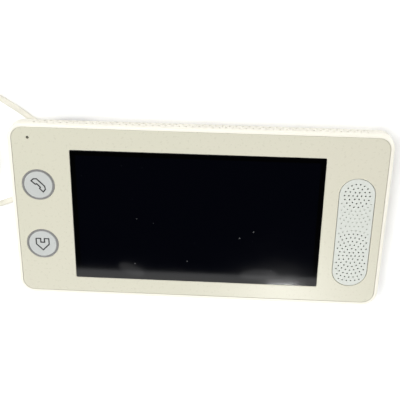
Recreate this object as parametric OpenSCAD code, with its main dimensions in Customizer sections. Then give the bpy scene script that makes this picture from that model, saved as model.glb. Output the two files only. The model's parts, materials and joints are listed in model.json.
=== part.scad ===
// Hands-free room monitor with a seven-inch display, two push buttons and a
// loudspeaker. It lies on its back: +Z is out of the display, +X is the right
// side and +Y the upper side of the unit as it hangs on a wall. Millimetres.

/* [Housing] */
// Width of the white front housing
housing_w = 232.8; // [231:0.2:236]
// Height of the white front housing
housing_h = 117.8; // [116:0.2:121]
// Corner radius of the front housing
housing_r = 9.8; // [9:0.1:12]
// Thickness of the housing wall, which is the rim round the panel
wall = 2.3; // [2:0.1:2.4]
// Radius of the rim's outer edge
rim_round = 1.7; // [0.8:0.1:1.9]
// Height of the rim's crown above the back of the unit
depth = 20; // [19.9:0.1:20.4]
// Height at which the front housing's skirt ends
skirt_z = 12.2; // [12:0.1:12.6]

/* [Vents] */
// Distance between neighbouring vent holes
vent_pitch = 4; // [3.6:0.1:4.4]
// Diameter of a vent hole
vent_d = 1.6; // [1.2:0.1:1.8]
// Number of holes in the upper row
vent_count = 51; // [31:2:51]

/* [Rear cover] */
// Gap between the housing's side and the rear box, left and right
overhang_x = 8; // [8:0.1:8.6]
// Gap between the housing's side and the rear box, above and below
overhang_y = 12.9; // [12.5:0.1:13]
// Depth of the recess for the wall bracket
recess_depth = 5; // [4.4:0.1:5.2]

/* [Front panel] */
// Height of the panel's face above the back of the unit
panel_z = 19.8; // [19.7:0.05:19.85]
// Width of the display window
window_w = 155.4; // [154:0.1:156]
// Height of the display window
window_h = 88.4; // [87:0.1:89]
// Place of the window's centre, to the right of the unit's centre
window_x = 0.9; // [0:0.1:1.5]
// Place of the window's centre, above the unit's centre
window_y = 1.85; // [1:0.05:2.5]

/* [Buttons] */
// Radius of a button cap
cap_r = 8.96; // [8.9:0.01:8.98]
// Outer radius of the dark ring round a cap
ring_r = 10.18; // [10:0.01:10.3]
// Place of both buttons, to the right of the unit's centre
button_x = 99.3; // [98.8:0.1:99.6]
// Place of the talk button, above the unit's centre
talk_y = -18.75; // [-20:0.05:-18]
// Place of the unlock button, above the unit's centre
unlock_y = 22.45; // [21:0.05:23]
// Travel of a button
travel = 0.6; // [0.3:0.1:0.6]
// Width of the lines of both icons
icon_line = 0.84; // [0.6:0.02:0.9]

/* [Loudspeaker] */
// Radius of the grille's round ends
grille_r = 10.85; // [10.6:0.05:10.9]
// Distance between rings of grille holes
ring_pitch = 2.57; // [2.5:0.01:2.6]
// Diameter of a grille hole
grille_hole_d = 1.06; // [0.8:0.02:1.2]

/* [Lead] */
// Diameter of the lead
lead_d = 3.5; // [3.3:0.1:3.6]

/* [Hidden] */

eps = 0.01;
round_fn = 96;
half_w = housing_w / 2;
half_h = housing_h / 2;
fit_gap = 0.2;               // gap between the panel and the housing
panel_t = 2.2;
panel_back = panel_z - panel_t;
web_t = 1.5;                 // side webs that carry the panel
web_z = panel_back - web_t;
web_in = 85.5;
web_half_h = 52;

// Window and display
window_t = 1.4;
window_z = panel_z - 0.05 - window_t;
ledge_z = window_z - 0.15;
ledge_in = 1.3;
lcd_w = 165;
lcd_h = 100;
lcd_top = panel_back - 0.3;
lcd_z = 13.4;

// Loudspeaker grille: both hole patterns are centred on the pill's long axis
grille_x = -97.1;
grille_low = -18.95;
grille_high = 33.7;
main_y = 22.85;
small_y = -18.65;
hole_reach = 9.1;            // hole centres stay this close to the axis
mid_y = (main_y + small_y) / 2 - 0.2;

// Microphone
mic = [103.9, -49.8];
mic_r = 0.9;

// Rear cover
plate_z0 = 11;
plate_z1 = 12.8;
box_x = half_w - overhang_x;
box_y = half_h - overhang_y;
box_r = 6;
shell_t = 2;
recess = [100, 64];
recess_floor = recess_depth + 1.6;
cover_screw = [101.5, 40.6];
screw_r = 1.1;

// Boards
board_z0 = 8.6;
board_z1 = 10.2;
board = [156, 80];
board_x = 2;
board_screw = [73, 35.5];
key_z0 = 10.2;
key_z1 = 11.4;
key_x = 98.5;
key_screw_y = [-36, 2, 36.2];
switch_top = 13.9;
cap_low = 15;
icon_top = panel_z + 0.12;
icon_t = 0.35;

// Wall bracket: two screws 60 mm apart, as on a round wall box
bracket = [96, 60];
bracket_t = 1.2;
box_spacing = 60;
box_hole_r = 2.2;

// The lead: from the grommet to the coil, and from the coil back to the plug
lead_r = lead_d / 2;
exit_y = -4.6;
exit_z = 5.2;
exit_x = box_x + 5;
exit_route = [
  [exit_x, exit_y, exit_z], [116, -3.2, 4.5], [118.8, -1.5, 3.3],
  [122.4, 0.4, 2.3], [126.5, 2.2, 1.8], [130.6, 3.9, 1.8],
  [136, 5, 1.8], [142, 4.4, 1.8], [148, 0.6, 1.8],
  [152.4, -4.4, 1.8], [157, -8.4, 1.95], [163, -10.7, 2.1]
];
return_route = [
  [180.7, -37, 12.6], [181.7, -45, 10.8], [181.3, -53, 8], [178.6, -62, 5.2],
  [174, -70, 3.2], [167, -76.6, 2.2], [158, -80.6, 1.9], [147, -80.6, 1.8],
  [136, -76, 1.8], [129, -71.6, 1.8], [123.9, -68.2, 1.8],
  [118, -64.6, 1.8], [111.5, -60.2, 1.8], [106.2, -56.2, 1.9],
  [101, -52.9, 2.2], [95, -51.3, 2.8], [90, -51, 3.6]
];
coil_at = [156.5, -34];
coil_out = 25.9;
coil_in = 12.4;
coil_top = 15.2;
tie_angle = 40;
plug_x = 90;
plug_y = -51;
plug_z = 3.9;

// ---------------------------------------------------------------- helpers

module rounded_rect(w, h, r) {
  square([w - 2 * r, h], center = true);
  square([w, h - 2 * r], center = true);
  for (x = [-1, 1], y = [-1, 1])
    translate([x * (w / 2 - r), y * (h / 2 - r)]) circle(r, $fn = round_fn);
}

module slab(w, h, r, z0, z1) {
  translate([0, 0, z0]) linear_extrude(z1 - z0) rounded_rect(w, h, r);
}

module block(x0, x1, y0, y1, z0, z1) {
  translate([x0, y0, z0]) cube([x1 - x0, y1 - y0, z1 - z0]);
}

module disc(x, y, z0, z1, r) {
  translate([x, y, z0]) cylinder(h = z1 - z0, r = r, $fn = round_fn);
}

module pipe(x, y, z0, z1, r_out, r_in) {
  difference() {
    disc(x, y, z0, z1, r_out);
    disc(x, y, z0 - 1, z1 + 1, r_in);
  }
}

// A pill standing on its low end, for the grille and its seat
module pill(r) {
  translate([grille_x - r, grille_low]) square([2 * r, grille_high - grille_low]);
  for (y = [grille_low, grille_high]) translate([grille_x, y]) circle(r, $fn = round_fn);
}

function unit(v) = v / norm(v);

// Direction of a route at its point i
function heading(path, i) =
  unit(path[min(i + 1, len(path) - 1)] - path[max(i - 1, 0)]);

// A point t of the way from point i to i + 1 on a smooth curve through the route
function curve_at(path, i, t) =
  let (n = len(path) - 1, a = path[max(i - 1, 0)], b = path[i],
       c = path[min(i + 1, n)], d = path[min(i + 2, n)])
  0.5 * (2 * b + (c - a) * t + (2 * a - 5 * b + 4 * c - d) * t * t
         + (3 * b - a - 3 * c + d) * t * t * t);

function smooth_route(path, steps) = concat(
  [for (i = [0 : len(path) - 2], s = [0 : steps - 1]) curve_at(path, i, s / steps)],
  [path[len(path) - 1]]);

// A round tube swept along a route, closed at both ends
module sweep(path, r, sides = 8) {
  n = len(path);
  rings = [for (i = [0 : n - 1])
    let (t = heading(path, i), side = unit(cross([0, 0, 1], t)), up = cross(t, side))
    for (k = [0 : sides - 1])
      path[i] + r * (cos(360 * k / sides) * side + sin(360 * k / sides) * up)];
  skin = [for (i = [0 : n - 2], k = [0 : sides - 1])
    let (a = i * sides + k, b = i * sides + (k + 1) % sides)
    [a, a + sides, b + sides, b]];
  polyhedron(rings, concat(skin, [[for (k = [0 : sides - 1]) k]],
    [[for (k = [sides - 1 : -1 : 0]) (n - 1) * sides + k]]));
}

// ---------------------------------------------------------------- housing

// Section of the wall, at its distance from the corner's centre
module wall_section() {
  crown = housing_r - rim_round;
  difference() {
    translate([housing_r - wall, skirt_z]) square([wall, depth - skirt_z]);
    difference() {
      translate([crown, depth - rim_round]) square(rim_round + 1);
      translate([crown, depth - rim_round]) circle(rim_round, $fn = round_fn);
    }
  }
}

module wall_ring() {
  corner = [half_w - housing_r, half_h - housing_r];
  for (turn = [0 : 3]) {
    across = turn % 2 == 0 ? corner[0] : corner[1];
    along = turn % 2 == 0 ? corner[1] : corner[0];
    rotate([0, 0, 90 * turn]) translate([across, along, 0]) {
      rotate_extrude(angle = 90, $fn = round_fn) wall_section();
      rotate([90, 0, 0]) linear_extrude(2 * along) wall_section();
    }
  }
}

module vent_row(count, z) {
  for (i = [0 : count - 1])
    translate([(i - (count - 1) / 2) * vent_pitch, half_h + 1, z])
      rotate([90, 0, 0]) cylinder(h = wall + 1.5, r = vent_d / 2, $fn = 24);
}

module vents() {
  for (flip = [0, 1]) mirror([0, flip, 0]) {
    vent_row(vent_count, panel_z - 3.3);
    vent_row(vent_count - 1, panel_z - 6);
  }
}

// Draws on the right side for 1 and mirrored on the left side for -1
module on_side(s) {
  if (s > 0) children();
  else mirror([1, 0, 0]) children();
}

// The webs behind the panel's ends, open behind the speaker, keys and microphone
module side_webs() {
  difference() {
    union() {
      for (s = [-1, 1]) on_side(s)
        block(web_in, half_w - wall + 0.1, -web_half_h, web_half_h, web_z, panel_back);
      for (x = [-1, 1], y = [-1, 1])
        disc(x * cover_screw[0], y * cover_screw[1], recess_depth, web_z + eps, 2.8);
      for (y = key_screw_y) disc(key_x, y, key_z1, web_z + eps, 2);
    }
    disc(grille_x, main_y, web_z - 1, panel_back + 1, 13.4);
    disc(grille_x, small_y, web_z - 1, panel_back + 1, 8.4);
    for (y = [talk_y, unlock_y]) disc(button_x, y, web_z - 1, panel_back + 1, ring_r + 1.3);
    disc(mic[0], mic[1], web_z - 1, panel_back + 1, 4.4);
    for (x = [-1, 1], y = [-1, 1])
      disc(x * cover_screw[0], y * cover_screw[1], recess_depth - 1, web_z - 1, screw_r + 0.05);
    for (y = key_screw_y) disc(key_x, y, key_z1 - 1, web_z - 1, 0.8);
  }
}

module front_housing() {
  color("#f0ede2") {
    difference() {
      wall_ring();
      vents();
    }
    side_webs();
  }
}

// ---------------------------------------------------------------- front panel

module front_panel() {
  panel_w = housing_w - 2 * (wall + fit_gap);
  panel_h = housing_h - 2 * (wall + fit_gap);
  color("#e0ddcb") difference() {
    slab(panel_w, panel_h, housing_r - wall - fit_gap, panel_back, panel_z);
    translate([window_x, window_y, 0]) {
      slab(window_w + 0.3, window_h + 0.3, 0.8, ledge_z, panel_z + 1);
      slab(window_w - 2 * ledge_in, window_h - 2 * ledge_in, 0.8, panel_back - 1, panel_z);
    }
    translate([0, 0, panel_back - 1]) linear_extrude(panel_t + 2) pill(grille_r + 0.25);
    for (y = [talk_y, unlock_y]) disc(button_x, y, panel_back - 1, panel_z + 1, ring_r + 0.07);
    disc(mic[0], mic[1], panel_back - 1, panel_z + 1, mic_r);
  }
}

module display_window() {
  color("#101112") translate([window_x, window_y, 0])
    slab(window_w, window_h, 0.65, window_z, window_z + window_t);
}

module window_adhesive() {
  color("#2a2a2a") translate([window_x, window_y, 0]) difference() {
    slab(window_w - 0.4, window_h - 0.4, 0.6, ledge_z, window_z);
    slab(window_w - 2 * ledge_in, window_h - 2 * ledge_in, 0.8, ledge_z - 1, window_z + 1);
  }
}

// ---------------------------------------------------------------- grille

// Points of ring k round a centre: six times k of them, the first on +X
function ring_points(y, k) = k == 0 ? [[grille_x, y]] :
  [for (i = [0 : 6 * k - 1])
    [grille_x, y] + k * ring_pitch * [cos(60 * i / k), sin(60 * i / k)]];

// Distance of a point from the pill's long axis
function off_axis(p) =
  norm(p - [grille_x, min(max(p[1], grille_low), grille_high)]);

module holes(points, z0) {
  for (p = points)
    if (off_axis(p) <= hole_reach)
      translate([p[0], p[1], z0]) cylinder(h = 5, r = grille_hole_d / 2, $fn = 16);
}

module grille_holes() {
  through = panel_back - 1;
  dimple = panel_z - 0.75;
  for (k = [0 : 3]) holes(ring_points(small_y, k), through);
  for (k = [0 : 6]) holes(ring_points(main_y, k), through);
  holes([for (p = ring_points(main_y, 7)) if (p[1] > main_y) p], through);
  for (k = [4 : 7]) holes([for (p = ring_points(small_y, k)) if (p[1] > small_y) p], dimple);
  holes([for (p = ring_points(main_y, 7)) if (p[1] < main_y) p], dimple);
  holes([for (i = [-2 : 2]) [grille_x + 1.02 * i * ring_pitch, mid_y]], dimple);
  holes([for (x = [-7.9, 7.9], y = [-1.75, 1.75]) [grille_x + x, mid_y + y]], dimple);
}

module speaker_grille() {
  color("#d9dcd6") difference() {
    translate([0, 0, panel_back]) linear_extrude(panel_t - 0.1) pill(grille_r);
    grille_holes();
  }
}

module grille_felts() {
  color("#18181a") {
    disc(grille_x, main_y, panel_back - 0.9, panel_back - 0.1, 13.2);
    disc(grille_x, small_y, panel_back - 0.9, panel_back - 0.1, 8.2);
  }
}

// ---------------------------------------------------------------- buttons

module button_ring(y) {
  color("#85837f") difference() {
    union() {
      disc(button_x, y, panel_back, panel_z + 0.1, ring_r);
      disc(button_x, y, web_z + 0.5, panel_back, ring_r + 1.1);
    }
    disc(button_x, y, web_z - 1, panel_z + 1, cap_r + 0.08);
  }
}

module talk_ring() { button_ring(talk_y); }

module unlock_ring() { button_ring(unlock_y); }

// A cap with a shallow dish, a soft edge and a retaining flange below its ring
module button_cap(y) {
  top = panel_z + 0.35;
  dish_r = 60;
  dish_depth = 0.3;
  edge_r = 0.6;
  boss_h = 0.6;
  color("#d2d2d0") translate([button_x, y, 0]) rotate_extrude($fn = round_fn) difference() {
    union() {
      translate([0, cap_low + boss_h]) square([cap_r, top - edge_r - cap_low - boss_h]);
      translate([0, cap_low + boss_h]) square([cap_r - edge_r, top - cap_low - boss_h]);
      translate([cap_r - edge_r, top - edge_r]) circle(edge_r, $fn = 48);
      translate([0, cap_low + boss_h]) square([ring_r - 0.2, 0.7]);
      translate([0, cap_low]) square([2.2, 1]);
    }
    intersection() {
      translate([0, top - dish_depth + dish_r]) circle(dish_r, $fn = 256);
      translate([0, top - 1]) square([cap_r - 1.1, 2]);
    }
  }
}

module icon_seat(y) {
  translate([button_x, y, icon_top - icon_t]) linear_extrude(icon_t + 1) children();
}

module talk_cap() {
  difference() {
    button_cap(talk_y);
    icon_seat(talk_y) handset();
  }
}

module unlock_cap() {
  difference() {
    button_cap(unlock_y);
    icon_seat(unlock_y) house();
  }
}

module icon_body(y) {
  color("#3c3c3c") translate([button_x, y, icon_top - icon_t]) linear_extrude(icon_t) children();
}

// A line of even width round a closed outline, its corners rounded a hair fuller than the line
module outline(points, w) {
  fuller = 0.004;
  n = len(points);
  for (i = [0 : n - 1]) {
    a = points[i];
    b = points[(i + 1) % n];
    run = b - a;
    translate(a) {
      circle(w / 2 + fuller, $fn = 24);
      rotate(atan2(run[1], run[0])) translate([0, -w / 2]) square([norm(run), w]);
    }
  }
}

// A telephone handset lying on the diagonal, its two ends to the upper right
module handset() {
  outline([
    [4.35, -2.6], [2.9, -4], [0.9, -4.05], [-3.9, 0.8], [-4.3, 2.8],
    [-2.85, 4.7], [-0.65, 2.4], [-1.2, 1.6], [0.95, -0.65], [1.9, -0.35]
  ], icon_line);
}

// A house with a door
module house() {
  outline([
    [0, 4.45], [4.1, 0.35], [4.1, -3.75], [1.2, -3.75], [1.2, -1],
    [-1.2, -1], [-1.2, -3.75], [-4.1, -3.75], [-4.1, 0.35]
  ], icon_line);
}

module talk_icon() { icon_body(talk_y) handset(); }

module unlock_icon() { icon_body(unlock_y) house(); }

module plunger(y) {
  color("#222222") disc(button_x, y, switch_top - 0.3, cap_low - 0.02, 1.7);
}

module talk_plunger() { plunger(talk_y); }

module unlock_plunger() { plunger(unlock_y); }

// A square tact switch, with a well that the plunger sinks into
module key_switch(y) {
  side = 6.2;
  color("#3a3a3c") difference() {
    block(button_x - side / 2, button_x + side / 2, y - side / 2, y + side / 2,
          key_z1, switch_top);
    disc(button_x, y, switch_top - travel - 0.5, switch_top + 1, 1.78);
  }
}

module talk_switch() { key_switch(talk_y); }

module unlock_switch() { key_switch(unlock_y); }

module key_board() {
  color("#2f5a3c") difference() {
    block(key_x - 7, key_x + 6.5, -39, 41, key_z0, key_z1);
    for (y = key_screw_y) disc(key_x, y, key_z0 - 1, key_z1 + 1, 1);
    for (y = [-1, 1]) disc(cover_screw[0], y * cover_screw[1], key_z0 - 1, key_z1 + 1, 3.1);
  }
}

module screw(x, y, head_z, head_h, head_r, shank_z, shank_r) {
  slot = 0.6;
  difference() {
    disc(x, y, head_z, head_z + head_h, head_r);
    for (turn = [0, 90]) translate([x, y, 0]) rotate([0, 0, turn])
      block(-head_r * 0.6, head_r * 0.6, -slot / 2, slot / 2,
            shank_z > head_z ? head_z - 1 : head_z + head_h - slot,
            shank_z > head_z ? head_z + slot : head_z + head_h + 1);
  }
  disc(x, y, min(shank_z, head_z + head_h), max(shank_z, head_z), shank_r);
}

module key_board_screws() {
  color("#9a9a9a") for (y = key_screw_y) screw(key_x, y, key_z0 - 1.1, 1.1, 1.7, key_z1 + 2.6, 0.78);
}

// ---------------------------------------------------------------- display

module lcd_gasket() {
  color("#303030") translate([window_x, window_y, 0]) difference() {
    slab(lcd_w - 1, lcd_h - 1, 1, lcd_top, panel_back);
    slab(window_w - 0.5, window_h - 0.5, 1, lcd_top - 1, panel_back + 1);
  }
}

module lcd_frame() {
  color("#b6b8ba") translate([window_x, window_y, 0]) difference() {
    slab(lcd_w, lcd_h, 1.2, lcd_z, lcd_top);
    slab(lcd_w - 2, lcd_h - 2, 0.6, lcd_z + 0.6, lcd_top + 1);
  }
}

module lcd_backlight() {
  color("#e8e8e4") translate([window_x, window_y, 0])
    slab(lcd_w - 3, lcd_h - 3, 0.5, lcd_z + 0.6, lcd_z + 2.5);
}

module lcd_glass() {
  color("#17181c") translate([window_x, window_y, 0])
    slab(lcd_w - 3, lcd_h - 3, 0.5, lcd_z + 2.5, lcd_top - 0.1);
}

// ---------------------------------------------------------------- sound

module speaker_basket() {
  color("#4a4c50") translate([grille_x, main_y, 0]) rotate_extrude($fn = round_fn)
    polygon([
      [14, web_z], [14, web_z - 1], [12.4, web_z - 1], [12, 13], [9.1, 12.9], [9.1, 10],
      [3.6, 10], [3.6, 10.8], [8.3, 10.8], [8.3, 13.4], [11.2, 13.9], [11.8, web_z - 0.2],
      [12.2, web_z]
    ]);
}

module speaker_cone() {
  color("#1b1b1d") translate([grille_x, main_y, 0]) rotate_extrude($fn = round_fn)
    polygon([
      [0, 14.2], [2.5, 13.9], [3.4, 13.2], [4, 13.2], [10, 15.1], [10.5, 15.7], [11.1, 15.5],
      [11.4, 15.2], [11.35, 14.9], [10.9, 15.1], [10.3, 14.7], [3.4, 12.4], [3.4, 10.9],
      [3.1, 10.9], [3.1, 13.1], [2.3, 13.5], [0, 13.8]
    ]);
}

module speaker_magnet() {
  color("#6d6f73") translate([grille_x, main_y, 0]) rotate_extrude($fn = round_fn)
    polygon([
      [0, 7.2], [8.4, 7.2], [8.4, 10], [3.55, 10], [3.55, 8.4], [2.9, 8.4], [2.9, 12.3],
      [0, 12.3]
    ]);
}

module ringer_case() {
  color("#26262a") difference() {
    disc(grille_x, small_y, 12.9, web_z, 9);
    disc(grille_x, small_y, 13.7, web_z + 1, 7.9);
  }
}

module ringer_disc() {
  color("#b89b52") disc(grille_x, small_y, 15.1, 15.4, 7.85);
}

module mic_boot() {
  color("#202022") difference() {
    disc(mic[0], mic[1], 13.2, panel_back, 4.2);
    disc(mic[0], mic[1], 13.9, 16.5, 3);
    disc(mic[0], mic[1], 16, panel_back + 1, mic_r);
    disc(mic[0], mic[1], 12, 14, 1.2);
  }
}

module mic_capsule() {
  color("#a8a8a8") disc(mic[0], mic[1], 13.9, 16.5, 3);
}

// ---------------------------------------------------------------- boards

module main_board() {
  color("#2f5a3c") difference() {
    block(board_x - board[0] / 2, board_x + board[0] / 2, -board[1] / 2, board[1] / 2,
          board_z0, board_z1);
    for (x = [-1, 1], y = [-1, 1])
      disc(x * board_screw[0], y * board_screw[1], board_z0 - 1, board_z1 + 1, 1.6);
  }
}

module processor_shield() {
  color("#c2c4c6") difference() {
    block(8, 44, -8, 22, board_z1, board_z1 + 2.6);
    block(8.3, 43.7, -7.7, 21.7, board_z1 - 1, board_z1 + 2.3);
  }
}

module board_chips() {
  color("#1e1e20") {
    block(14, 26, 0, 12, board_z1, board_z1 + 1.2);
    block(32, 40, -4, 10, board_z1, board_z1 + 1);
    block(-36, -26, 4, 11, board_z1, board_z1 + 1.4);
    block(-52, -46, -12, -7, board_z1, board_z1 + 1.2);
    block(-20, -13, -24, -20, board_z1, board_z1 + 1.2);
    block(54, 60, 14, 19, board_z1, board_z1 + 1.4);
    block(50, 56, -22, -16, board_z1, board_z1 + 1.4);
  }
}

module board_capacitors() {
  color("#30343c") {
    for (y = [-6, 2, 10]) disc(60, y, board_z0 - 5.4, board_z0, 3.15);
    for (y = [-2, 7]) disc(-62, y, board_z0 - 5.4, board_z0, 4);
  }
}

module board_sockets() {
  color("#e6e2d6") {
    block(73, 78, -4, 8, board_z1, board_z1 + 2.9);
    block(-75, -70, 14, 22, board_z1, board_z1 + 2.9);
    block(-75, -70, -14, -6, board_z1, board_z1 + 2.9);
    block(-8, 14, -38.5, -34, board_z1, board_z1 + 2.2);
  }
}

module board_screws() {
  color("#9a9a9a") for (x = [-1, 1], y = [-1, 1])
    screw(x * board_screw[0], y * board_screw[1], board_z1, 1.5, 2.6, 4, 1.35);
}

module terminal_block() {
  color("#3c7a52") difference() {
    block(66, 76, -24, -12, board_z0 - 5.6, board_z0);
    for (y = [-21, -15]) translate([71, y, board_z0 - 3]) rotate([0, 90, 0])
      cylinder(h = 6, r = 1.1, $fn = 24);
  }
}

module display_ribbon() {
  color("#b5793a") translate([-5, 0, 0]) rotate([90, 0, 90]) linear_extrude(16) {
    translate([-42, 13.1]) square([6, 0.3]);
    translate([-42.3, 11.2]) square([0.3, 2.2]);
    translate([-42, 11]) square([3.5, 0.3]);
  }
}

// Pairs of thin wires to the speaker, the ringer, the microphone and the lead
module inner_wires() {
  color("#8c2f2b") for (s = [-0.8, 0.8]) {
    sweep([[-75.2, 18 + s, 11.6], [-80, 18 + s, 10.8], [-84, 19 + s, 9.4], [-88.6, 20 + s, 8.6]], 0.5);
    sweep([[-75.2, -10 + s, 11.6], [-80, -11 + s, 11.6], [-86, -13 + s, 12.2], [-89, -14.4 + s, 12.4],
           [-93, -17 + s, 12.35]], 0.5);
    sweep([[78.2, 2 + s, 11.6], [82, 0 + s, 11.8], [86, -6 + s, 12.3], [89, -24 + s, 12.4],
           [95.4, -42 + s, 13.3], [99.4, -46 + s, 13.6], [102.4, -49 + s, 13.8]], 0.45);
    sweep([[76.2, -18 + 3.75 * s, 5.6], [84, -17 + 2 * s, 5], [94, -10 + s, 4], [101, -5.6 + s, 3.4],
           [box_x - shell_t - 1.2, exit_y + s, exit_z]], 0.6);
  }
}

// ---------------------------------------------------------------- rear

module rear_cover() {
  color("#e9e5d8") difference() {
    union() {
      slab(housing_w - 2 * wall - 0.2, housing_h - 2 * wall - 0.2, housing_r - wall - 0.1,
           plate_z0, plate_z1);
      slab(2 * box_x, 2 * box_y, box_r, 0, plate_z0 + eps);
    }
    difference() {
      slab(2 * (box_x - shell_t), 2 * (box_y - shell_t), box_r - shell_t, shell_t, plate_z1 + 1);
      slab(recess[0] + 4, recess[1] + 4, 4, 0, recess_floor);
      for (x = [-1, 1], y = [-1, 1]) {
        disc(x * cover_screw[0], y * cover_screw[1], 0, recess_depth, 3.8);
        disc(x * board_screw[0], y * board_screw[1], 0, board_z0, 3.2);
      }
    }
    slab(recess[0], recess[1], 3, -1, recess_depth);
    for (x = [-1, 1], y = [-1, 1]) {
      disc(x * cover_screw[0], y * cover_screw[1], -1, 3, 2.8);
      disc(x * cover_screw[0], y * cover_screw[1], -1, 8, 1.5);
      disc(x * board_screw[0], y * board_screw[1], 4, board_z0 + 1, 1.4);
    }
    for (x = [-36, 36], y = [-22, 22]) block(x - 5.5, x + 5.5, y - 1.5, y + 3, 0, 10);
    for (i = [-4 : 4]) block(i * 7 - 1, i * 7 + 1, 35.5, 41.5, -1, shell_t + 1);
    translate([box_x - shell_t - 1, exit_y, exit_z]) rotate([0, 90, 0])
      cylinder(h = shell_t + 2, r = 2.35, $fn = 48);
    block(box_x - 22, box_x - 21, -2, 2, -1, 0);
  }
}

module cover_screws() {
  color("#9a9a9a") for (x = [-1, 1], y = [-1, 1])
    screw(x * cover_screw[0], y * cover_screw[1], 1.2, 1.8, 2.5, 14, screw_r);
}

// Pressed steel plate with four hooks for the rear cover
module wall_bracket() {
  z0 = 0.1;
  color("#a9acae") difference() {
    union() {
      slab(bracket[0], bracket[1], 2.5, z0, z0 + bracket_t);
      for (x = [-36, 36], y = [-22, 22]) {
        block(x - 4.5, x + 4.5, y - 1, y + 0.2, z0, 8.2);
        block(x - 4.5, x + 4.5, y - 1, y + 2.4, 7, 8.2);
      }
    }
    slab(34, 34, 4, -1, 3);
    for (x = [-1, 1]) disc(x * box_spacing / 2, 0, -1, 3, box_hole_r);
    for (y = [-1, 1]) disc(0, y * 24.5, -1, 3, 2);
  }
}

// ---------------------------------------------------------------- lead

module lead_grommet() {
  color("#e4e0d2") translate([0, exit_y, exit_z]) rotate([0, 90, 0]) {
    difference() {
      union() {
        translate([0, 0, box_x - shell_t - 1]) cylinder(h = 1, r = 3, $fn = 48);
        translate([0, 0, box_x - shell_t - eps]) cylinder(h = shell_t + 2 * eps, r = 2.3, $fn = 48);
        translate([0, 0, box_x]) cylinder(h = 5, r1 = 3.1, r2 = 2.3, $fn = 48);
      }
      translate([0, 0, box_x - 4]) cylinder(h = 10, r = lead_r + 0.02, $fn = 48);
    }
  }
}

module lead_tube(path) {
  color("#ebe7dc") sweep(smooth_route(path, 2), lead_r);
}

module lead_exit() {
  inner = [box_x - shell_t - 1, exit_y, exit_z];
  lead_tube(concat([inner, [box_x, exit_y, exit_z]], exit_route));
}

module lead_return() { lead_tube(return_route); }

// Outer shape of the wound part of the lead
module lead_coil() {
  soft = 2.6;
  color("#ebe7dc") translate([coil_at[0], coil_at[1], 0]) rotate_extrude($fn = 64)
    translate([(coil_in + coil_out) / 2, (coil_top + 0.5) / 2])
      rounded_rect(coil_out - coil_in, coil_top - 0.5, soft);
}

module coil_tie() {
  t = 0.5;
  color("#3a3a3c") translate([coil_at[0], coil_at[1], 0]) rotate([0, 0, tie_angle])
    difference() {
      block(coil_in - t, coil_out + t, -3, 3, 0, coil_top + t);
      block(coil_in + 0.2, coil_out - 0.2, -4, 4, 0.6, coil_top - 0.2);
    }
}

// A slim round plug, tucked in behind the lower edge of the unit
module lead_plug() {
  color("#2c2c2e") translate([0, plug_y, plug_z]) rotate([0, -90, 0]) difference() {
    translate([0, 0, -plug_x]) union() {
      cylinder(h = 6, r1 = 2.4, r2 = 3.4, $fn = 48);
      translate([0, 0, 6]) cylinder(h = 15, r = 3.7, $fn = 48);
    }
    translate([0, 0, -plug_x + 19]) cylinder(h = 4, r = 2.6, $fn = 48);
  }
}

module plug_contacts() {
  color("#c8c9cb") translate([0, plug_y, plug_z]) rotate([0, -90, 0])
    translate([0, 0, -plug_x + 19]) difference() {
      cylinder(h = 10, r = 2.5, $fn = 48);
      translate([0, 0, 1]) cylinder(h = 12, r = 1.2, $fn = 32);
    }
}

front_housing();
front_panel();
display_window();
window_adhesive();
speaker_grille();
talk_ring();
unlock_ring();
talk_cap();
unlock_cap();
talk_icon();
unlock_icon();
talk_plunger();
unlock_plunger();
talk_switch();
unlock_switch();
key_board();
key_board_screws();
lcd_gasket();
lcd_frame();
lcd_backlight();
lcd_glass();
speaker_basket();
speaker_cone();
speaker_magnet();
grille_felts();
ringer_case();
ringer_disc();
mic_boot();
mic_capsule();
main_board();
processor_shield();
board_chips();
board_capacitors();
board_sockets();
board_screws();
terminal_block();
display_ribbon();
inner_wires();
rear_cover();
cover_screws();
wall_bracket();
lead_grommet();
lead_exit();
lead_coil();
coil_tie();
lead_return();
lead_plug();
plug_contacts();
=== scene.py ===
import json
import math

import bmesh
import bpy
from mathutils import Matrix, Vector

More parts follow.
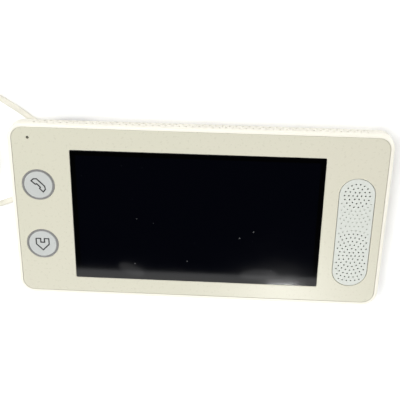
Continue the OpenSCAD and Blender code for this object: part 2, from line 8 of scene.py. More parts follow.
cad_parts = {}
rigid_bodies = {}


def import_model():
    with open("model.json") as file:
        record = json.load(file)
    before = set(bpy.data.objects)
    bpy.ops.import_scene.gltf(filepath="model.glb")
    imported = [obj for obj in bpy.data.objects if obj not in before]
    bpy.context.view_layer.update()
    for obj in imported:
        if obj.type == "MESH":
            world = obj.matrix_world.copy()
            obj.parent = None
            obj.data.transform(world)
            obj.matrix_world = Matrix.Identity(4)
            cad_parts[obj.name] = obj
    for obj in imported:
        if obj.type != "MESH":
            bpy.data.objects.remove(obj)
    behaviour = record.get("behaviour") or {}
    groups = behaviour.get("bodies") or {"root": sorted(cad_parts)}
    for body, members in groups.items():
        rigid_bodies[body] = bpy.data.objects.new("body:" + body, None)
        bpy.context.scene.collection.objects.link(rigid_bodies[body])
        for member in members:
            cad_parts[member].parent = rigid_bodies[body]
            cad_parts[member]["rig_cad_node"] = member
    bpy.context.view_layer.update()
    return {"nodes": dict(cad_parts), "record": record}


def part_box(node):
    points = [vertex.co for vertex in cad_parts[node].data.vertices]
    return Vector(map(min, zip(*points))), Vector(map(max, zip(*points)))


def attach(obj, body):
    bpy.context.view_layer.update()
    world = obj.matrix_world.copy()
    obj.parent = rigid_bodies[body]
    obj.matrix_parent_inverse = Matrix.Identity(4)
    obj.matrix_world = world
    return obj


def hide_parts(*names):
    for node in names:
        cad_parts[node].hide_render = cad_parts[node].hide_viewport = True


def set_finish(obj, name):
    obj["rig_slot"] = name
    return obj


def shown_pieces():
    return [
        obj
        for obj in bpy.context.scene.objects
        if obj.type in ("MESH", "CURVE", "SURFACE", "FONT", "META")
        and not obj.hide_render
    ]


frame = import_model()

# A hands-free wall monitor lying on its back: a white housing with an ivory panel, a black display
# window, two push buttons, a speaker grille and a thin lead. Blender works in metres, and MM is a
# millimetre in them. The lead's, grommet's, plug's and tie's own sizes are in millimetres.

MM = 0.001
BODY = "monitor"
SUBPARTS = {s["node"]: s for s in frame["record"]["subparts"]}
NODE_BODY = {n: b for b, ns in frame["record"]["behaviour"]["bodies"].items() for n in ns}

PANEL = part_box("front_panel")
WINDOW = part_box("display_window")
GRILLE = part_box("speaker_grille")
PANEL_TOP = PANEL[1][2]


def middle(box):
    return (Vector(box[0]) + Vector(box[1])) / 2


# ------------------------------------------------------------------ camera

CAMERA_AHEAD = Vector((0.0454, 0.4208, -0.9060))
CAMERA_UP = Vector((0.0359, -0.9070, -0.4195))
CAMERA_PLACE = Vector((-23.6 * MM, -220.2 * MM, PANEL_TOP + 447.6 * MM))
SENSOR_WIDTH = 36        # millimetres, as is the focal length
FOCAL_LENGTH = 72


def add_camera():
    """Looks down at the unit from its lower side, with the unit upside down in the frame."""
    forward = CAMERA_AHEAD.normalized()
    up = (CAMERA_UP - forward * CAMERA_UP.dot(forward)).normalized()
    right = forward.cross(up)
    data = bpy.data.cameras.new("camera")
    data.sensor_width = SENSOR_WIDTH
    data.lens = FOCAL_LENGTH
    camera = bpy.data.objects.new("camera", data)
    turn = Matrix((right, up, -forward)).transposed().to_4x4()
    camera.matrix_world = Matrix.Translation(CAMERA_PLACE) @ turn
    bpy.context.scene.collection.objects.link(camera)
    bpy.context.scene.camera = camera


# ------------------------------------------------------------------ the lead

LEAD_R = 1.75
LEAD_SIDES = 14
STEPS_PER_SPAN = 3       # points on the smooth curve from one of the route's points to the next
LEAD_EXIT = [            # from the grommet to the coil
    (113.4, -4.6, 5.2), (116, -3.2, 4.5), (118.8, -1.5, 3.3), (122.4, 0.4, 2.3),
    (126.5, 2.2, 1.8), (130.6, 3.9, 1.8), (136, 5, 1.8), (142, 4.4, 1.8), (148, 0.6, 1.8),
    (152.4, -4.4, 1.8), (157, -8.4, 1.95), (163, -10.7, 2.1),
]
LEAD_RETURN = [          # from the coil, across the camera's view and back to the plug
    (180.7, -37, 12.6), (181.7, -45, 10.8), (181.3, -53, 8), (178.6, -62, 5.2), (174, -70, 3.2),
    (167, -76.6, 2.2), (158, -80.6, 1.9), (147, -80.6, 1.8), (136, -76, 1.8), (129, -71.6, 1.8),
    (123.9, -68.2, 1.8), (118, -64.6, 1.8), (111.5, -60.2, 1.8), (106.2, -56.2, 1.9),
    (101, -52.9, 2.2), (95, -51.3, 2.8), (90, -51, 3.6),
]
COIL_AT = Vector((156.5, -34, 0))
COIL_R_OUT = 24.15
COIL_R_IN = 14.05
COIL_LAYERS = 4
COIL_BASE = 2.35         # height of the lowest layer's middle, with room for the tie below it
COIL_STEP = 3.55         # from one layer's middle to the next
COIL_TURNS = 11          # full turns, besides the arc from where it enters to where it leaves
COIL_CLIMB = 0.16        # share of a layer over which the lead climbs to the next one
COIL_POINT_EVERY = math.radians(12)
TIE_ANGLE = math.radians(40)
TIE_THICK = 0.5
PLUG_AT = Vector((90, -51, 3.9))
BOX_X = 108.4            # side wall of the rear box, where the grommet sits


def smooth_route(points):
    """Points on a smooth curve through the route's own points."""
    points = [Vector(p) for p in points]
    last = len(points) - 1
    out = []
    for i in range(last):
        a, b, c, d = points[max(i - 1, 0)], points[i], points[i + 1], points[min(i + 2, last)]
        for k in range(STEPS_PER_SPAN):
            t = k / STEPS_PER_SPAN
            out.append(0.5 * (2 * b + (c - a) * t + (2 * a - 5 * b + 4 * c - d) * t ** 2
                              + (3 * b - a - 3 * c + d) * t ** 3))
    return out + [points[last]]


def smooth_step(t):
    """0 up to t = 0, 1 from t = 1, and an even rise between them."""
    t = min(max(t, 0), 1)
    return t * t * (3 - 2 * t)


def coil_points(first, last):
    """Turns that wind in and out by layers, clockwise from above, each layer on the one below."""
    start, end = (math.atan2(p.y - COIL_AT.y, p.x - COIL_AT.x) for p in (first, last))
    whole = start - end + 2 * math.pi * COIL_TURNS
    count = int(whole / COIL_POINT_EVERY)
    out = []
    for i in range(count + 1):
        at = i / count * COIL_LAYERS
        layer = min(int(at), COIL_LAYERS - 1)
        part = at - layer
        inward = part if layer % 2 == 0 else 1 - part
        r = COIL_R_OUT - (COIL_R_OUT - COIL_R_IN) * inward
        rise = sum(smooth_step((at - k) / COIL_CLIMB + 0.5) for k in range(1, COIL_LAYERS))
        angle = start - whole * i / count
        out.append(COIL_AT + Vector((r * math.cos(angle), r * math.sin(angle),
                                     COIL_BASE + COIL_STEP * rise)))
    return out


def relaxed(points, passes):
    """Evens out small kinks; the ends stay."""
    for _ in range(passes):
        points = ([points[0]]
                  + [(a + 2 * b + c) / 4 for a, b, c in zip(points, points[1:], points[2:])]
                  + [points[-1]])
    return points


def lead_points():
    """The whole lead's middle line, in metres: grommet, coil, return and plug."""
    leaving = smooth_route(LEAD_EXIT)
    coming = smooth_route(LEAD_RETURN)
    turns = coil_points(leaving[-1], coming[0])
    return [p * MM for p in relaxed(leaving[:-1] + turns + coming[1:], 2)]


def frames_along(points):
    """A direction and two sideways vectors at each point, turning as little as they can."""
    count = len(points)
    side = None
    for i, point in enumerate(points):
        ahead = (points[min(i + 1, count - 1)] - points[max(i - 1, 0)]).normalized()
        if side is None:
            side = ahead.orthogonal()
        side = (side - ahead * side.dot(ahead)).normalized()
        yield point, side, ahead.cross(side)


def skinned(name, verts, rings, sides, smooth=40):
    """Joins rings of points into one closed skin, with sharp edges above smooth degrees."""
    faces = [tuple(range(sides))[::-1], tuple(range((rings - 1) * sides, rings * sides))]
    for i in range(rings - 1):
        for k in range(sides):
            a = i * sides + k
            b = i * sides + (k + 1) % sides
            faces.append((a, b, b + sides, a + sides))
    mesh = bpy.data.meshes.new(name)
    mesh.from_pydata([tuple(v) for v in verts], [], faces)
    mesh.polygons.foreach_set("use_smooth", [True] * len(faces))
    mesh.set_sharp_from_angle(angle=math.radians(smooth))
    return mesh


def turned_mesh(name, start, ahead, profile, sides=48, flutes=0, flute_depth=0.0, fluted=(0, 0)):
    """A shape turned about a line, from millimetres.

    profile holds (distance along, radius). The flutes are dips of flute_depth in the stretch of
    the line that fluted gives.
    """
    side = ahead.orthogonal().normalized()
    over = ahead.cross(side)
    verts = []
    for along, radius in profile:
        for k in range(sides):
            turn = 2 * math.pi * k / sides
            r = radius
            if flutes and fluted[0] <= along <= fluted[1]:
                r -= flute_depth * (0.5 + 0.5 * math.cos(flutes * turn))
            out = math.cos(turn) * side + math.sin(turn) * over
            verts.append((start + ahead * along + out * r) * MM)
    return skinned(name, verts, len(profile), sides, smooth=50)


def new_object(name, mesh, body, node_slot, *replaced):
    """A visible piece on a body, standing in for the CAD nodes it replaces."""
    obj = bpy.data.objects.new(name, mesh)
    bpy.context.scene.collection.objects.link(obj)
    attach(obj, body)
    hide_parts(*replaced)
    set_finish(obj, node_slot)
    return obj


def add_lead(points):
    """A round tube along the points, closed at both ends."""
    verts = []
    for point, side, over in frames_along(points):
        for k in range(LEAD_SIDES):
            turn = 2 * math.pi * k / LEAD_SIDES
            verts.append(point + LEAD_R * MM * (math.cos(turn) * side + math.sin(turn) * over))
    mesh = skinned("lead", verts, len(points), LEAD_SIDES)
    return new_object("lead", mesh, BODY, "lead_jacket", "lead_exit", "lead_coil", "lead_return")


def add_grommet():
    """A ribbed sleeve in the rear box's side wall, with its flange inside."""
    bore = LEAD_R + 0.04
    flange, neck, outside = 3.0, 2.3, 3.1
    wall_out = 3           # from the flange's inner face to the wall's outer face
    ribs, first_rib, pitch, taper = 4, 3.4, 1.15, 0.17
    profile = [(0, bore), (0, flange), (1, flange), (1, neck), (wall_out, neck),
               (wall_out, flange), (wall_out + 0.15, outside)]
    for i in range(ribs):
        at = first_rib + pitch * i
        crest = outside - taper * i
        profile += [(at, crest), (at + 0.55, crest - 0.06), (at + 0.7, crest - 0.42),
                    (at + 0.95, crest - 0.45), (at + 1.05, crest - 0.18)]
    end = profile[-1][0]
    profile += [(end + 0.1, 2.25), (end + 0.1, bore), (end - 1.5, bore)]
    start = Vector((BOX_X - wall_out, LEAD_EXIT[0][1], LEAD_EXIT[0][2]))
    mesh = turned_mesh("grommet_sleeve", start, Vector((1, 0, 0)), profile)
    return new_object("grommet_sleeve", mesh, BODY, "lead_jacket", "lead_grommet")


def add_plug():
    """A slim moulded plug: ribbed strain relief, fluted grip and a plain collar."""
    ribs, first_rib, pitch, widening = 4, 0.6, 1.3, 0.22
    grip_r, grip_start, grip_step, grip_rings = 3.66, 8, 0.5, 17
    profile = [(0, 1.8), (0, 2.15), (0.25, 2.35)]
    for i in range(ribs):
        at = first_rib + pitch * i
        crest = 2.45 + widening * i
        profile += [(at, crest), (at + 0.7, crest + 0.08), (at + 0.85, crest - 0.35),
                    (at + 1.1, crest - 0.33)]
    profile += [(6, 3.3), (6.4, 3.6), (6.9, 3.7), (7.9, 3.7)]
    profile += [(grip_start + grip_step * i, grip_r) for i in range(grip_rings)]
    profile += [(16.1, 3.7), (17.4, 3.7), (17.6, 3.45), (18, 3.45), (18.2, 3.7), (20.6, 3.7),
                (20.9, 3.58), (21, 3.35), (21, 2.55), (19.4, 2.55)]
    mesh = turned_mesh("plug_body", PLUG_AT, Vector((-1, 0, 0)), profile, sides=96,
                       flutes=16, flute_depth=0.34, fluted=(8.3, 15.8))
    return new_object("plug_body", mesh, BODY, "plug_black", "lead_plug")


def tie_path():
    """Round the coil's bundle once and over the top again, as (distance from axis, height)."""
    half = TIE_THICK / 2
    inner, outer = COIL_R_IN - LEAD_R - 0.15, COIL_R_OUT + LEAD_R + 0.15
    low, high = 0.56, COIL_BASE + COIL_STEP * (COIL_LAYERS - 1) + LEAD_R + 0.1
    mid_r, mid_z = (inner + outer) / 2, (low + high) / 2
    bend = 2.4 + half
    corner_r, corner_z = outer - mid_r - bend + half, high - mid_z - bend + half
    steps = 6              # from one end of a bend to the other
    points = [(mid_r - 2.5, high + half)]
    for quarter in range(4):
        right = 1 if quarter in (0, 1) else -1
        up = 1 if quarter in (0, 3) else -1
        for step in range(steps + 1):
            turn = math.radians(90 - 90 * quarter - 90 / steps * step)
            climb = 1.1 * TIE_THICK * step / steps if quarter == 3 else 0
            points.append((mid_r + right * corner_r + (bend + climb) * math.cos(turn),
                           mid_z + up * corner_z + (bend + climb) * math.sin(turn)))
    top = high + 1.6 * TIE_THICK
    return points + [(mid_r - 2, top + 0.02), (mid_r + 1.5, top + 0.04), (mid_r + 4, top + 0.25)]


def add_tie():
    """A woven hook-and-loop strap round the coil, its free end lying on top."""
    half_width, half_thick, edge = 3.0, 0.24, 0.12
    radial = Vector((math.cos(TIE_ANGLE), math.sin(TIE_ANGLE), 0))
    across = Vector((-radial.y, radial.x, 0))
    path = [COIL_AT + radial * r + Vector((0, 0, z)) for r, z in tie_path()]
    section = [(-half_width, -half_thick + edge), (-half_width + edge, -half_thick),
               (half_width - edge, -half_thick), (half_width, -half_thick + edge),
               (half_width, half_thick - edge), (half_width - edge, half_thick),
               (-half_width + edge, half_thick), (-half_width, half_thick - edge)]
    free_end = 0.72        # the free end's share of the full width
    verts = []
    for i, point in enumerate(path):
        ahead = (path[min(i + 1, len(path) - 1)] - path[max(i - 1, 0)]).normalized()
        out = across.cross(ahead)
        taper = free_end if i == len(path) - 1 else 1
        for wide, thick in section:
            verts.append((point + across * (wide * taper) + out * thick) * MM)
    mesh = skinned("tie_strap", verts, len(path), len(section), smooth=50)
    return new_object("tie_strap", mesh, BODY, "tie_band", "coil_tie")


# ------------------------------------------------------------------ softened copies

LEAST_ANGLE = math.radians(34)       # between the faces of an edge that gets rounded


def soften(node, bands, segments=3):
    """A copy of a CAD node with its sharp edges rounded off.

    bands is a list of (width in millimetres, test of an edge's middle); the first test that
    holds for an edge sets its width.
    """
    bm = bmesh.new()
    bm.from_mesh(frame["nodes"][node].data)
    bmesh.ops.remove_doubles(bm, verts=bm.verts, dist=0.002 * MM)
    bmesh.ops.dissolve_limit(bm, angle_limit=math.radians(1), verts=bm.verts, edges=bm.edges)
    mark = bm.edges.layers.int.new("band")
    for edge in bm.edges:
        edge[mark] = -1
        if len(edge.link_faces) == 2 and edge.calc_face_angle(0) > LEAST_ANGLE:
            at = (edge.verts[0].co + edge.verts[1].co) / 2
            edge[mark] = next((i for i, band in enumerate(bands) if band[1](at)), -1)
    for i, band in enumerate(bands):
        chosen = [e for e in bm.edges if e[mark] == i]
        for edge in chosen:
            edge[mark] = -1
        if chosen:
            bmesh.ops.bevel(bm, geom=chosen, offset=band[0] * MM, offset_type="OFFSET",
                            segments=segments, profile=0.5, affect="EDGES", clamp_overlap=True)
    bmesh.ops.recalc_face_normals(bm, faces=bm.faces)
    mesh = bpy.data.meshes.new(node + "_soft")
    bm.to_mesh(mesh)
    bm.free()
    mesh.polygons.foreach_set("use_smooth", [True] * len(mesh.polygons))
    obj = new_object(node + "_soft", mesh, NODE_BODY[node], SUBPARTS[node]["material_slot"], node)
    normals = obj.modifiers.new("normals", "WEIGHTED_NORMAL")
    normals.keep_sharp = True
    normals.weight = 80


def anywhere(at):
    return True


def near(box, reach):
    """A test of whether a point is within reach millimetres of a box's outline, seen from above."""
    low, high = box

    def test(at):
        return (low.x - reach * MM < at.x < high.x + reach * MM
                and low.y - reach * MM < at.y < high.y + reach * MM)
    return test


def on_top(test):
    """The same test, for edges at the panel's top face only."""
    return lambda at: at.z > PANEL_TOP - 0.3 * MM and test(at)


def off_pill(at):
    """How far a point lies from the grille's own outline."""
    low, high = GRILLE
    r = (high.x - low.x) / 2
    along = min(max(at.y, low.y + r), high.y - r)
    return abs(math.hypot(at.x - (low.x + r), at.y - along) - r)


def add_softened():
    """Rounded copies of the shells, window, grille, buttons and bracket."""
    openings = [(0.4, on_top(near(WINDOW, 0.6))), (0.35, on_top(near(GRILLE, 0.6)))]
    openings += [(0.3, on_top(near(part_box(ring), 0.6))) for ring in ("talk_ring", "unlock_ring")]
    openings.append((0.12, near(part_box("mic_boot"), 0.5)))
    soften("front_panel", openings + [(0.1, anywhere)])
    soften("front_housing", [(0.1, on_top(anywhere)), (0.28, anywhere)])
    soften("display_window", [(0.12, anywhere)])
    soften("speaker_grille", [(0.35, lambda at: off_pill(at) < 0.3 * MM), (0.1, anywhere)], 2)
    for name in ("talk", "unlock"):
        soften(name + "_ring", [(0.2, anywhere)])
        soften(name + "_cap", [(0.1, anywhere)], 2)
    soften("rear_cover", [(0.35, anywhere)], 2)
    soften("wall_bracket", [(0.15, anywhere)], 2)


# ------------------------------------------------------------------ materials

WAVE_PERIOD = 0.314                  # of the wave node at scale 1, in its own units
FACTOR, FIRST_COLOUR, SECOND_COLOUR, COLOUR_RESULT = 0, 6, 7, 2    # sockets of the mix node


class Material:
    """A Principled material whose colour, roughness and bump are worked out by nodes."""

    def __init__(self, name, colour, roughness, metallic=0.0, coat=0.0):
        self.material = bpy.data.materials.new(name)
        self.material.use_nodes = True
        self.tree = self.material.node_tree
        self.shader = self.tree.nodes["Principled BSDF"]
        self.shader.inputs["Base Color"].default_value = (*colour, 1)
        self.shader.inputs["Roughness"].default_value = roughness
        self.shader.inputs["Metallic"].default_value = metallic
        self.shader.inputs["Coat Weight"].default_value = coat
        self.shader.inputs["Coat Roughness"].default_value = 0.1
        self.place = self.node("ShaderNodeTexCoord").outputs["Object"]
        self.relief = None

    def node(self, kind, **values):
        node = self.tree.nodes.new(kind)
        for key, value in values.items():
            if hasattr(node, key):
                setattr(node, key, value)
            else:
                node.inputs[key.replace("_", " ")].default_value = value
        return node

    def join(self, value, socket):
        """Links a node's output, or sets a number or colour."""
        if hasattr(value, "is_output"):
            self.tree.links.new(value, socket)
        elif isinstance(value, (int, float)):
            socket.default_value = value
        else:
            socket.default_value = (*value, 1)

    def scaled(self, size, stretch=(1, 1, 1)):
        """The place on the part, counted in steps of size millimetres."""
        mapping = self.node("ShaderNodeMapping")
        mapping.inputs["Scale"].default_value = [s / (size * MM) for s in stretch]
        self.join(self.place, mapping.inputs["Vector"])
        return mapping.outputs["Vector"]

    def noise(self, size, detail=2.0, stretch=(1, 1, 1)):
        """Noise whose spots are about size millimetres across."""
        noise = self.node("ShaderNodeTexNoise", Scale=1.0, Detail=detail)
        self.join(self.scaled(size, stretch), noise.inputs["Vector"])
        return noise.outputs["Fac"]

    def cells(self, size):
        """Distance inside cells about size millimetres across, in steps of that size."""
        cells = self.node("ShaderNodeTexVoronoi", Scale=1.0)
        self.join(self.scaled(size), cells.inputs["Vector"])
        return cells.outputs["Distance"]

    def waves(self, size, direction):
        """Bands size millimetres apart along an axis, or across the diagonal."""
        waves = self.node("ShaderNodeTexWave", bands_direction=direction, Scale=WAVE_PERIOD)
        self.join(self.scaled(size), waves.inputs["Vector"])
        return waves.outputs["Fac"]

    def bricks(self, size):
        """1 on the gaps between bricks about size millimetres long, and 0 on the bricks."""
        bricks = self.node("ShaderNodeTexBrick", Scale=1.0)
        bricks.inputs["Mortar Size"].default_value = 0.035
        self.join(self.scaled(size), bricks.inputs["Vector"])
        return bricks.outputs["Fac"]

    def spread(self, value, low, high, from_low=0.3, from_high=0.7):
        """value mapped from its own range to low..high."""
        spread = self.node("ShaderNodeMapRange")
        for name, number in (("From Min", from_low), ("From Max", from_high),
                             ("To Min", low), ("To Max", high)):
            spread.inputs[name].default_value = number
        self.join(value, spread.inputs["Value"])
        return spread.outputs["Result"]

    def mix(self, share, first, second):
        """The first colour where share is 0, the second where it is 1."""
        mix = self.node("ShaderNodeMix", data_type="RGBA")
        self.join(share, mix.inputs[FACTOR])
        self.join(first, mix.inputs[FIRST_COLOUR])
        self.join(second, mix.inputs[SECOND_COLOUR])
        return mix.outputs[COLOUR_RESULT]

    def math(self, operation, first, second=0.0):
        node = self.node("ShaderNodeMath", operation=operation)
        self.join(first, node.inputs[0])
        self.join(second, node.inputs[1])
        return node.outputs[0]

    def axis(self, name):
        """The place's X, Y or Z, in metres."""
        split = self.node("ShaderNodeSeparateXYZ")
        self.join(self.place, split.inputs[0])
        return split.outputs[name]

    def inside(self, box, inset, edge=0.2):
        """1 inside a box's outline less inset millimetres, seen from above, and 0 outside it.

        It falls from 1 to 0 over edge millimetres.
        """
        centre = middle(box)
        sides = []
        for name, at, half in (("X", centre.x, (box[1].x - box[0].x) / 2),
                               ("Y", centre.y, (box[1].y - box[0].y) / 2)):
            off = self.math("ABSOLUTE", self.math("SUBTRACT", self.axis(name), at))
            sides.append(self.math("SUBTRACT", off, half - inset * MM))
        beyond = self.math("MAXIMUM", *sides)
        return self.spread(beyond, 1.0, 0.0, 0.0, edge * MM)

    def use(self, socket, value):
        self.join(value, self.shader.inputs[socket])

    def bump(self, value, depth):
        """Adds relief of depth millimetres."""
        bump = self.node("ShaderNodeBump")
        bump.inputs["Strength"].default_value = 1.0
        bump.inputs["Distance"].default_value = depth * MM
        self.join(value, bump.inputs["Height"])
        if self.relief:
            self.join(self.relief, bump.inputs["Normal"])
        self.relief = bump.outputs["Normal"]
        self.use("Normal", self.relief)


def tinted(colour, by):
    """The colour made lighter or darker, and no lighter than white."""
    return tuple(min(c * by, 1.0) for c in colour)


def moulded(name, colour, roughness, grain=0.5, depth=0.004, uneven=0.04):
    """Moulded plastic: faint cloudiness, a fine grain and patches that are worn smoother."""
    scuff = 0.06
    m = Material(name, colour, roughness)
    cloud = m.spread(m.noise(26, 3), 0.0, 1.0)
    m.use("Base Color", m.mix(cloud, tinted(colour, 1 - uneven), tinted(colour, 1 + uneven)))
    m.use("Roughness", m.spread(m.noise(9, 4), roughness - scuff, roughness + scuff))
    m.bump(m.noise(grain, 2), depth)
    return m


def worn_edges(m, colour, worn):
    """Outer edges rub towards another colour."""
    pointiness = m.node("ShaderNodeNewGeometry").outputs["Pointiness"]
    edge = m.spread(pointiness, 0.0, 1.0, 0.52, 0.6)
    rubbed = m.math("MULTIPLY", edge, m.spread(m.noise(3, 4), 0.0, 1.0, 0.4, 0.6))
    m.use("Base Color", m.mix(rubbed, colour, worn))


def metal(name, colour, roughness, brushed=(1, 12, 12), depth=0.003):
    """Metal with fine drawn lines along the axis that brushed stretches least."""
    m = Material(name, colour, roughness, metallic=1.0)
    lines = m.noise(2.5, 3, brushed)
    m.use("Base Color", m.mix(m.spread(lines, 0.0, 1.0), tinted(colour, 0.86), tinted(colour, 1.1)))
    m.use("Roughness", m.spread(m.noise(5, 3), roughness - 0.08, roughness + 0.1))
    m.bump(lines, depth)
    return m


def white_shell():
    """White housing: satin, darker in patches towards the bottom of its sides, and a faint moulding
    grain.
    """
    colour = (0.775, 0.752, 0.665)
    m = moulded("white_shell", colour, 0.34, grain=0.6, depth=0.003)
    # The colour darkens in patches towards the bottom of the sides: not at all from 1 mm below the
    # panel's top, most from 6 mm below it down.
    dust = m.math("MULTIPLY", m.spread(m.axis("Z"), 1.0, 0.0, PANEL_TOP - 6 * MM, PANEL_TOP - 1 * MM),
                  m.spread(m.noise(2.2, 4), 0.0, 0.5))
    m.use("Base Color", m.mix(dust, tinted(colour, 1.02), (0.60, 0.57, 0.50)))
    return m


def ivory_panel():
    """Ivory face: glossy, warmer and greener areas, fine darker flecks and a slight orange peel."""
    warm, green = (0.584, 0.563, 0.465), (0.577, 0.567, 0.461)
    m = Material("ivory_panel", warm, 0.3)
    shade = m.mix(m.spread(m.noise(80, 1), 0.0, 1.0, 0.2, 0.8), warm, green)
    fleck = m.spread(m.noise(0.7, 4), 0.0, 0.035, 0.3, 0.8)
    m.use("Base Color", m.mix(fleck, shade, (0.52, 0.50, 0.41)))
    m.use("Roughness", m.spread(m.noise(1.8, 3), 0.265, 0.295, 0.2, 0.8))
    m.bump(m.noise(3.2, 2), 0.0012)
    m.bump(m.noise(0.4, 2), 0.0005)
    return m


def rear_shell():
    """Rear cover: spark-eroded texture, rubbed lighter along its edges."""
    colour = (0.70, 0.68, 0.585)
    m = moulded("rear_shell", colour, 0.5, grain=0.7, depth=0.02)
    worn_edges(m, colour, (0.78, 0.76, 0.68))
    m.bump(m.cells(0.9), 0.008)
    return m


def screen_window():
    """Black acrylic with a printed border, a blue-black display behind it, smears and dust."""
    m = Material("screen_window", (0.0008, 0.0008, 0.001), 0.05)
    display = m.inside(WINDOW, 3.2)
    glass = m.mix(display, (0.0005, 0.0005, 0.0006), (0.0007, 0.0009, 0.0022))
    speck = m.spread(m.cells(9.5), 1.0, 0.0, 0.028, 0.045)
    fluff = m.spread(m.cells(4.1), 0.5, 0.0, 0.01, 0.024)
    dust = m.math("MAXIMUM", speck, fluff)
    m.use("Base Color", m.mix(dust, glass, (0.075, 0.078, 0.08)))
    smear = m.spread(m.noise(30, 3, (1, 2.4, 1)), 0.03, 0.055, 0.1, 0.9)
    m.use("Roughness", m.mix(dust, smear, (0.6, 0.6, 0.6)))
    m.bump(m.noise(60, 1), 0.003)
    return m


def grille_plate():
    """Light grey-green plate, with some greyer patches."""
    colour = (0.575, 0.597, 0.555)
    m = moulded("grille_plate", colour, 0.42, grain=0.35, depth=0.003, uneven=0.03)
    grey = m.spread(m.noise(3.4, 4), 0.0, 0.22)
    m.use("Base Color", m.mix(grey, colour, (0.46, 0.475, 0.44)))
    return m


def button_ring():
    """Satin grey trim with a slight metallic sheen, rubbed lighter along its edges."""
    colour = (0.25, 0.248, 0.243)
    m = moulded("button_ring", colour, 0.34, grain=0.2, depth=0.002, uneven=0.08)
    m.use("Metallic", 0.35)
    worn_edges(m, colour, (0.38, 0.375, 0.365))
    return m


def button_cap():
    """Cool grey keys, polished a little where a finger presses."""
    colour = (0.475, 0.492, 0.478)
    m = moulded("button_cap", colour, 0.36, grain=0.3, depth=0.002, uneven=0.025)
    m.use("Roughness", m.spread(m.noise(4, 3), 0.26, 0.4))
    return m


def circuit_board():
    """Green solder mask over lighter tracks, with small tinned pads."""
    m = Material("circuit_board", (0.03, 0.13, 0.06), 0.32)
    tracks = m.spread(m.bricks(2.6), 0.0, 1.0, 0.4, 0.6)
    mask = m.mix(tracks, (0.02, 0.11, 0.05), (0.045, 0.2, 0.085))
    pads = m.spread(m.cells(3.1), 1.0, 0.0, 0.12, 0.15)
    m.use("Base Color", m.mix(pads, mask, (0.62, 0.61, 0.58)))
    m.use("Roughness", m.spread(m.noise(4), 0.24, 0.42))
    m.bump(tracks, 0.03)
    return m


def foam_black():
    """Black foam with open pores."""
    m = Material("foam_black", (0.02, 0.02, 0.02), 0.95)
    pores = m.cells(0.35)
    m.use("Base Color", m.mix(pores, (0.012, 0.012, 0.012), (0.05, 0.05, 0.05)))
    m.bump(pores, 0.08)
    return m


def pressed_steel():
    """Galvanised sheet: pale spangles with slightly different shine."""
    m = Material("pressed_steel", (0.6, 0.61, 0.62), 0.38, metallic=1.0)
    spangle = m.cells(3.5)
    m.use("Base Color", m.mix(spangle, (0.5, 0.515, 0.53), (0.68, 0.69, 0.7)))
    m.use("Roughness", m.spread(spangle, 0.3, 0.48, 0.0, 1.0))
    m.bump(m.noise(0.6, 3), 0.004)
    return m


def light_guide():
    """White light guide, with a field of small dots."""
    m = Material("light_guide", (0.86, 0.87, 0.86), 0.3)
    dots = m.spread(m.cells(1.1), 1.0, 0.0, 0.2, 0.3)
    m.use("Base Color", m.mix(dots, (0.84, 0.85, 0.85), (0.92, 0.93, 0.93)))
    m.bump(dots, 0.02)
    return m


def lcd_panel():
    """Nearly black glass, with faint pixel columns."""
    m = Material("lcd_panel", (0.01, 0.011, 0.014), 0.1)
    m.use("Base Color", m.mix(m.waves(0.3, "X"), (0.008, 0.009, 0.012), (0.016, 0.017, 0.021)))
    m.use("Roughness", m.spread(m.noise(12, 3), 0.06, 0.16))
    return m


def paper_cone():
    """Black felt and pressed paper: short fibres in all directions."""
    m = Material("paper_cone", (0.018, 0.018, 0.019), 0.9)
    fibres = m.noise(0.5, 6, (1, 5, 2))
    m.use("Base Color", m.mix(fibres, (0.008, 0.008, 0.009), (0.035, 0.035, 0.037)))
    m.bump(fibres, 0.05)
    return m


def ribbon_film():
    """Amber film with copper tracks side by side."""
    m = Material("ribbon_film", (0.5, 0.24, 0.06), 0.3, coat=0.3)
    tracks = m.spread(m.waves(1.0, "X"), 0.0, 1.0, 0.45, 0.55)
    m.use("Base Color", m.mix(tracks, (0.52, 0.26, 0.07), (0.34, 0.13, 0.03)))
    m.bump(tracks, 0.02)
    return m


def lead_jacket():
    """Ivory PVC jacket: softly glossy, faint ripples and grey handling marks."""
    colour = (0.72, 0.70, 0.61)
    m = Material("lead_jacket", colour, 0.4)
    marks = m.spread(m.noise(7, 5), 0.0, 0.35, 0.5, 0.75)
    cloud = m.mix(m.spread(m.noise(30, 2), 0.0, 1.0), tinted(colour, 0.96), tinted(colour, 1.04))
    m.use("Base Color", m.mix(marks, cloud, (0.50, 0.48, 0.42)))
    m.use("Roughness", m.spread(m.noise(5, 3), 0.3, 0.48))
    m.bump(m.noise(1.6, 3), 0.02)
    m.bump(m.noise(0.25, 2), 0.002)
    return m


def tie_band():
    """Black woven loop tape."""
    m = Material("tie_band", (0.02, 0.02, 0.022), 0.85)
    weave = m.math("MULTIPLY", m.waves(0.6, "Z"), m.waves(0.6, "DIAGONAL"))
    fuzz = m.math("ADD", weave, m.noise(0.4, 5))
    m.use("Base Color", m.mix(m.spread(fuzz, 0.0, 1.0, 0.3, 1.3), (0.010, 0.010, 0.011),
                              (0.055, 0.055, 0.058)))
    m.bump(fuzz, 0.08)
    m.use("Sheen Weight", 0.3)
    return m


def plug_black():
    """Black moulded rubber, rubbed greyer along its edges."""
    colour = (0.018, 0.018, 0.02)
    m = moulded("plug_black", colour, 0.46, grain=0.3, depth=0.012, uneven=0.15)
    worn_edges(m, colour, (0.07, 0.07, 0.072))
    return m


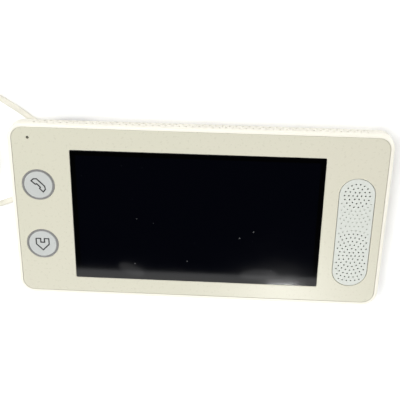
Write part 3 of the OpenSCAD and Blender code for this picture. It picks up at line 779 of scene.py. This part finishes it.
def make_materials():
    """Every slot's material, by the slot's name in the record."""
    return {
        "white_shell": white_shell(),
        "ivory_panel": ivory_panel(),
        "rear_shell": rear_shell(),
        "screen_window": screen_window(),
        "grille_plate": grille_plate(),
        "button_ring": button_ring(),
        "button_cap": button_cap(),
        "icon_print": moulded("icon_print", (0.024, 0.024, 0.024), 0.45, 0.25, 0.002, 0.2),
        "switch_black": moulded("switch_black", (0.02, 0.02, 0.022), 0.4, depth=0.006, uneven=0.2),
        "circuit_board": circuit_board(),
        "steel_screws": metal("steel_screws", (0.56, 0.56, 0.55), 0.3),
        "foam_black": foam_black(),
        "pressed_steel": pressed_steel(),
        "light_guide": light_guide(),
        "lcd_panel": lcd_panel(),
        "speaker_steel": metal("speaker_steel", (0.30, 0.305, 0.32), 0.42, (1, 4, 4), 0.01),
        "paper_cone": paper_cone(),
        "brass_disc": metal("brass_disc", (0.78, 0.58, 0.26), 0.3),
        "bare_metal": metal("bare_metal", (0.70, 0.70, 0.69), 0.22, (8, 2, 8)),
        "socket_plastic": moulded("socket_plastic", (0.72, 0.69, 0.60), 0.45, uneven=0.06),
        "terminal_green": moulded("terminal_green", (0.05, 0.25, 0.11), 0.45, uneven=0.1),
        "ribbon_film": ribbon_film(),
        "wire_insulation": moulded("wire_insulation", (0.36, 0.03, 0.025), 0.42, 0.3, uneven=0.15),
        "lead_jacket": lead_jacket(),
        "tie_band": tie_band(),
        "plug_black": plug_black(),
    }


def paint():
    """Gives every piece its slot's material."""
    materials = make_materials()
    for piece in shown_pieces():
        node = piece.get("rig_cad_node")
        name = SUBPARTS[node]["material_slot"] if node else piece["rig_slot"]
        piece.data.materials.clear()
        piece.data.materials.append(materials[name].material)


# ------------------------------------------------------------------ light and floor

def area_light(name, place, target, size, power, shape="RECTANGLE"):
    """A flat light at place, facing target, size metres wide and high, with power in watts."""
    data = bpy.data.lights.new(name, "AREA")
    data.shape = shape
    data.size, data.size_y = size
    data.energy = power
    light = bpy.data.objects.new(name, data)
    light.location = place
    aim = Vector(target) - Vector(place)
    light.rotation_euler = aim.to_track_quat("-Z", "Y").to_euler()
    bpy.context.scene.collection.objects.link(light)


def add_world():
    """Soft light from all round: white at the horizon, dimmer higher up and dark overhead."""
    world = bpy.data.worlds.new("studio")
    world.use_nodes = True
    nodes, links = world.node_tree.nodes, world.node_tree.links
    background = nodes["Background"]
    background.inputs["Color"].default_value = (1.0, 0.99, 0.97, 1)
    place = nodes.new("ShaderNodeTexCoord")
    split = nodes.new("ShaderNodeSeparateXYZ")
    ramp = nodes.new("ShaderNodeValToRGB")
    steps = ramp.color_ramp.elements
    steps[0].position, steps[0].color = 0.1, (1.1, 1.1, 1.1, 1)
    steps[1].position, steps[1].color = 0.75, (0.004, 0.004, 0.004, 1)
    middle_step = steps.new(0.2)
    middle_step.color = (0.6, 0.6, 0.6, 1)
    links.new(place.outputs["Generated"], split.inputs[0])
    links.new(split.outputs["Z"], ramp.inputs["Fac"])
    links.new(ramp.outputs["Color"], background.inputs["Strength"])
    bpy.context.scene.world = world


def add_lights():
    """A soft box high in front, dimmer ones round the unit, and what the window reflects.

    In the main view the window mirrors the dark part of the world, high beyond the unit's upper
    side. The strip's upper edge shows there as a grey band, with a glint and two faint shapes.
    """
    area_light("key", (0.5, -0.85, 1.9), (0, 0, 0), (1.3, 1.3), 36)
    area_light("left", (1.7, -0.1, 1.1), (0, 0, 0), (1.0, 1.0), 13)
    area_light("right", (-1.7, -0.5, 0.55), (0, 0, 0), (1.2, 0.7), 12.5)
    area_light("low", (0.2, 2.0, 0.8), (0, 0, 0), (2.0, 0.6), 13)
    strip_aim = (-0.03, 0.03, 0.02)
    area_light("strip", (-0.03, 0.6555, 0.7845), strip_aim, (1.1, 0.3), 1.35)
    area_light("glint", (-0.117, 0.572, 0.871), (-0.056, 0.05, 0.02), (0.05, 0.012), 0.9)
    for name, x, width, power in (("left", 0.17, 0.05, 0.0014), ("middle", -0.07, 0.07, 0.0024)):
        area_light("shape_" + name, (x, 0.538, 0.882), strip_aim, (width, 0.018), power, "ELLIPSE")


def add_floor():
    """A white table, a tenth of a millimetre below the unit's back so that the two don't meet."""
    half, height = 1.2, -0.1 * MM
    corners = [(x * half, y * half, height) for x, y in ((-1, -1), (1, -1), (1, 1), (-1, 1))]
    mesh = bpy.data.meshes.new("floor")
    mesh.from_pydata(corners, [], [(0, 1, 2, 3)])
    floor = bpy.data.objects.new("floor", mesh)
    bpy.context.scene.collection.objects.link(floor)
    m = Material("floor", (0.93, 0.93, 0.93), 0.8)
    m.use("Base Color", m.mix(m.spread(m.noise(120, 2), 0.0, 1.0), (0.94, 0.94, 0.94),
                              (0.95, 0.95, 0.95)))
    mesh.materials.append(m.material)


# ------------------------------------------------------------------ build

bpy.context.scene.view_settings.view_transform = "Standard"
add_camera()
lead_path = lead_points()
lead = add_lead(lead_path)
grommet = add_grommet()
tie = add_tie()
plug = add_plug()
[tuple(p) for p in lead_path]
add_softened()
paint()
add_floor()
add_world()
add_lights()
